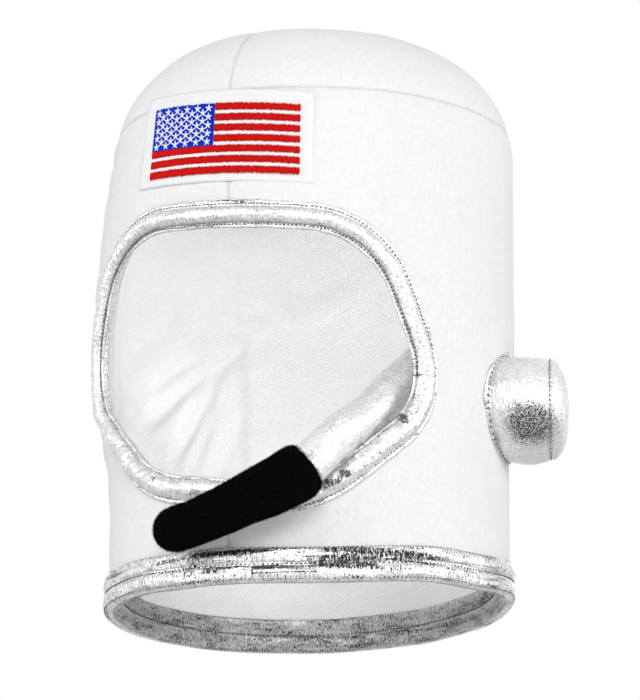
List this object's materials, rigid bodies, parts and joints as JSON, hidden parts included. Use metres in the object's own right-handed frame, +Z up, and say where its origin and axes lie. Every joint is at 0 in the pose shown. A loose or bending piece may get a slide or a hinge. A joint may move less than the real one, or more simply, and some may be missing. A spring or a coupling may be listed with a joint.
{
  "type": "costume astronaut helmet",
  "caption": "Soft padded astronaut helmet with a rounded face opening, silver stuffed trims, an ear knob, a sprung microphone boom and a flag patch.",
  "frame": {"origin": "on the helmet's upright axis, in the plane that the neck rim stands on", "axes": "+Z up, -Y the way the face opening looks, +X the wearer's left"},
  "size_m": [0.2429, 0.2421, 0.3],
  "materials": {
    "white_plush": "short matt pile",
    "foam": "open-cell foam",
    "lining_cloth": "light woven cloth",
    "silver_lame": "crinkled metallic knit",
    "stuffing": "polyester fibre",
    "black_fleece": "short matt pile",
    "patch_cloth": "close twill",
    "white_thread": "satin-stitched thread",
    "red_thread": "satin-stitched thread",
    "blue_thread": "satin-stitched thread"
  },
  "bodies": {
    "helmet": {"boom_anchor": "silver_lame", "crown_foam_left": "foam", "crown_foam_right": "foam", "crown_lining_left": "lining_cloth", "crown_lining_right": "lining_cloth", "crown_plush_left": "white_plush", "crown_plush_right": "white_plush", "ear_band": "silver_lame", "ear_cap": "silver_lame", "ear_flange": "silver_lame", "ear_stuffing": "stuffing", "face_trim_filler": "stuffing", "face_trim_flange": "silver_lame", "face_trim_lip": "silver_lame", "face_trim_sleeve": "silver_lame", "neck_inner_lower_cover": "silver_lame", "neck_inner_lower_wadding": "stuffing", "neck_inner_upper_cover": "silver_lame", "neck_inner_upper_wadding": "stuffing", "neck_outer_lower_cover": "silver_lame", "neck_outer_lower_wadding": "stuffing", "neck_outer_upper_cover": "silver_lame", "neck_outer_upper_wadding": "stuffing", "patch_backing": "patch_cloth", "patch_canton": "blue_thread", "patch_field": "white_thread", "patch_stars": "white_thread", "patch_stripes": "red_thread", "wall_foam_left": "foam", "wall_foam_right": "foam", "wall_lining_left": "lining_cloth", "wall_lining_right": "lining_cloth", "wall_plush_left": "white_plush", "wall_plush_right": "white_plush"},
    "mic_boom": {"boom_sleeve": "silver_lame", "boom_stuffing": "stuffing", "mic_cover": "black_fleece", "mic_stuffing": "stuffing"}
  },
  "joints": [
    {"name": "mic_boom_lift", "type": "hinge", "parent": "helmet", "child": "mic_boom", "pos_m": [0.08129, -0.00912, 0.13417], "axis": [-0.7148, 0.6993, 0], "range_deg": [0, 25], "stiffness_Nm_per_rad": 0.8}
  ]
}
